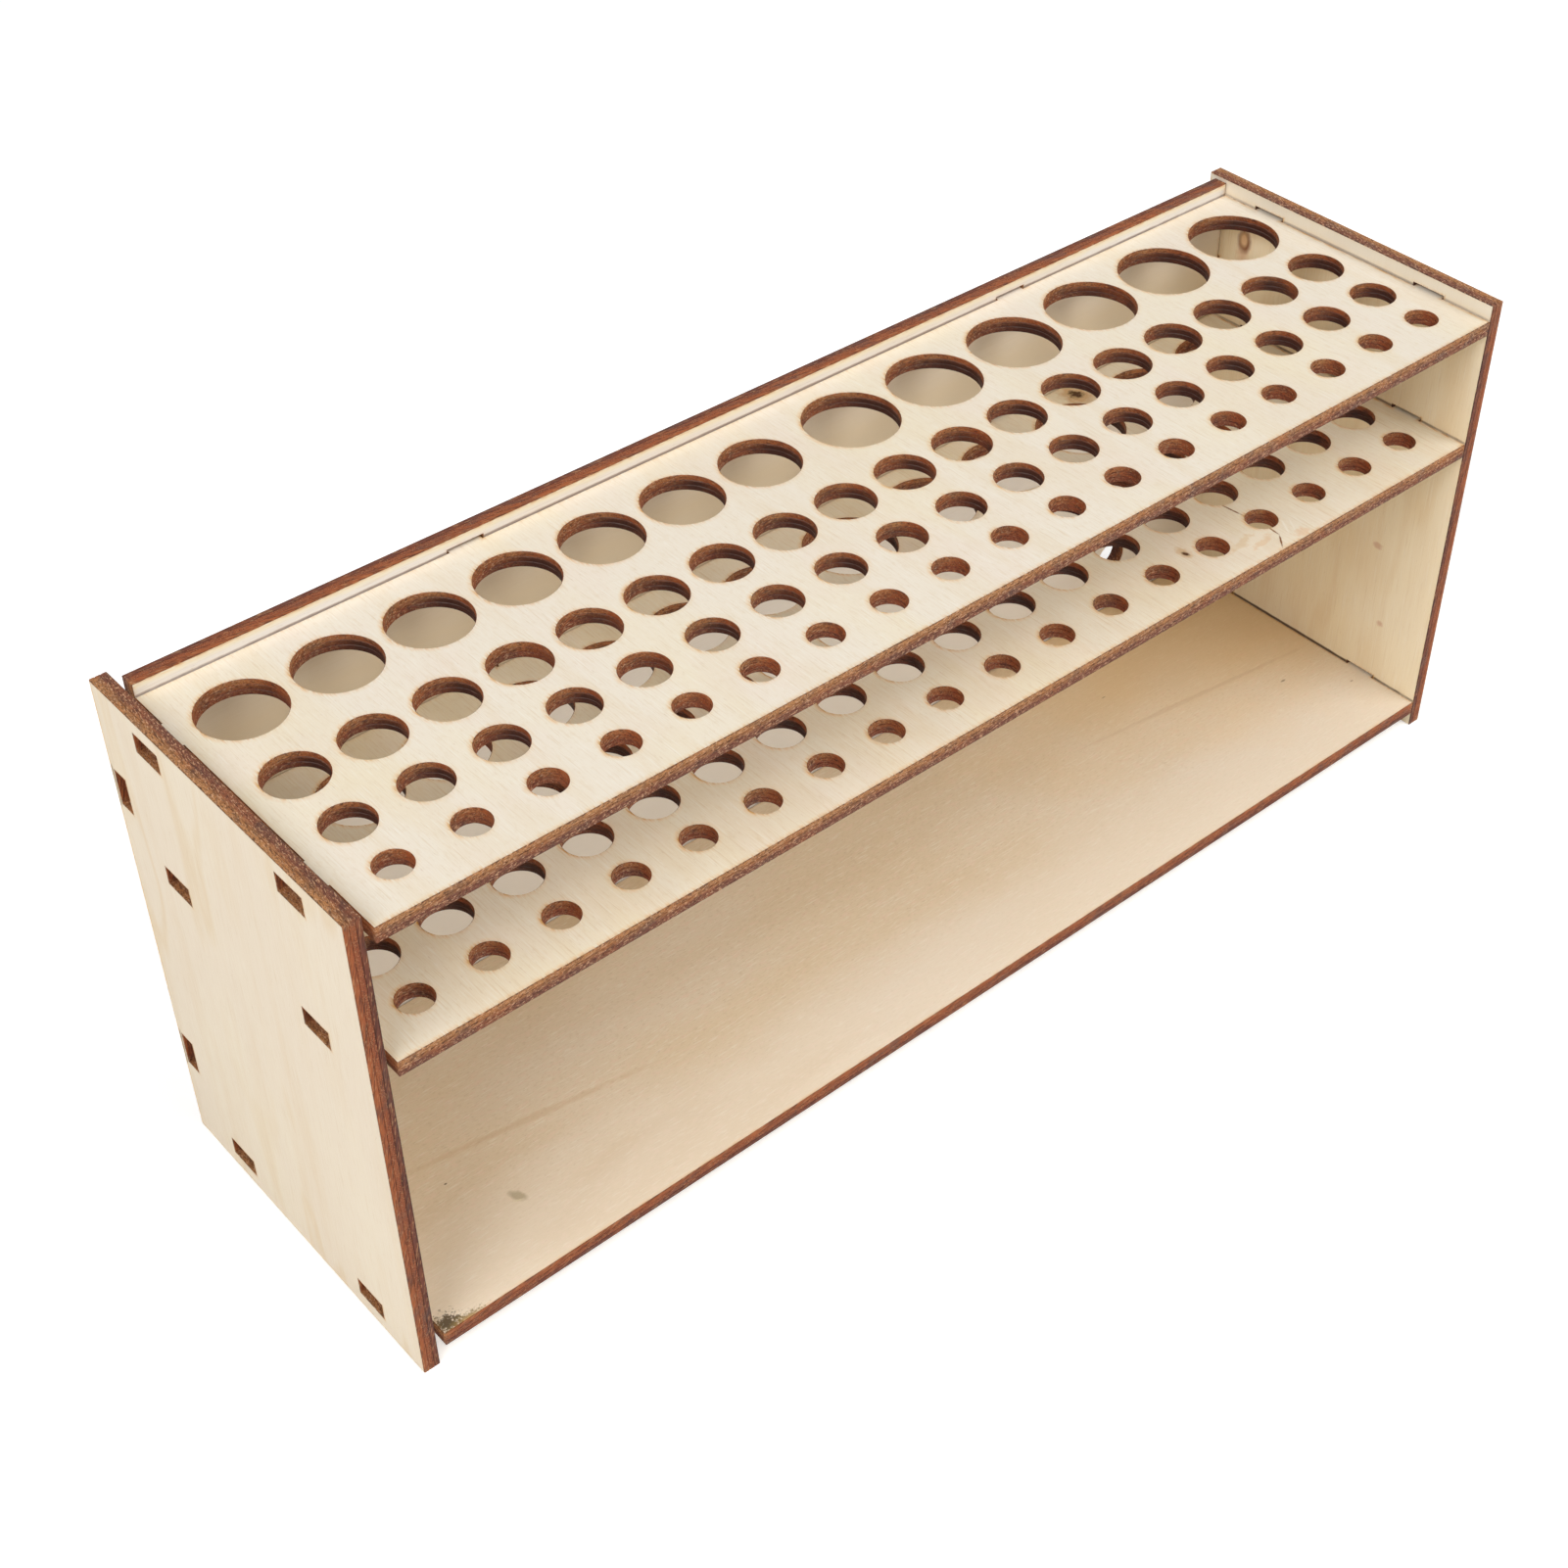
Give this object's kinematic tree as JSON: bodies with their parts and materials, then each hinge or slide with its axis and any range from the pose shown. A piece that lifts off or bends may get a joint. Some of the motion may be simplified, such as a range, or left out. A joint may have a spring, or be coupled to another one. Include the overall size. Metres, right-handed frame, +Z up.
{
  "type": "paintbrush rack",
  "caption": "Tabletop rack of slotted plywood panels, with two holed shelves that hold brushes upright over a plain shelf",
  "frame": {"origin": "under the middle of the rack, on the surface that it stands on", "axes": "+X along the rack to the right, +Y from the open front to the back, +Z up"},
  "size_m": [0.331, 0.0922, 0.132],
  "materials": {
    "end_panels": "raw sanded veneer, scorched edges",
    "back_panel": "raw sanded veneer, scorched edges",
    "shelves": "raw sanded veneer, scorched edges",
    "bottom_shelf": "raw sanded veneer, scorched edges"
  },
  "bodies": {
    "root": {"left_end_panel": "end_panels", "right_end_panel": "end_panels", "back_panel": "back_panel", "top_shelf": "shelves", "middle_shelf": "shelves", "bottom_shelf": "bottom_shelf"}
  },
  "joints": []
}
